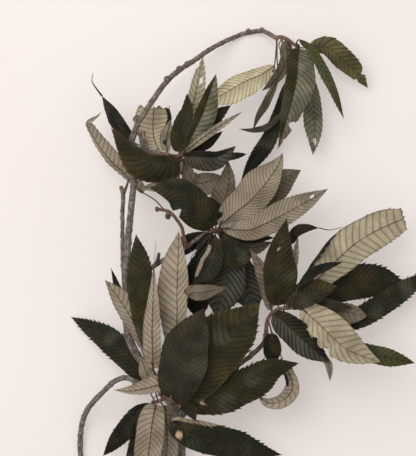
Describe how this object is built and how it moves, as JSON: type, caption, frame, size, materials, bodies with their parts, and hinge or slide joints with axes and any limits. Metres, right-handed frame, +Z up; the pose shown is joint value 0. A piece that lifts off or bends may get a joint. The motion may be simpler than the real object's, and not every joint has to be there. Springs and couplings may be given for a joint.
{
  "type": "preserved sweet chestnut branch",
  "caption": "Cut sweet chestnut branch, dried and preserved, with long toothed leaves on an arching stem, lying on its back.",
  "frame": {"origin": "Middle of the branch's box in plan, on the surface that the branch lies on.", "axes": "+Z up from that surface, +Y along the main stem from its cut base towards the arch, +X towards the side that most of the leaves are on."},
  "size_m": [0.5662, 0.789, 0.1407],
  "materials": {
    "bark": "dry grey-brown bark with small raised pores",
    "leaf": "dried leaf, satin dark green above and matt pale khaki beneath"
  },
  "bodies": {
    "root": {"branch_wood": "bark", "shoot_top": "leaf", "shoot_upper": "leaf", "shoot_side": "leaf", "shoot_middle": "leaf", "shoot_right": "leaf", "shoot_front": "leaf", "shoot_left": "leaf", "shoot_back": "leaf"}
  },
  "joints": []
}
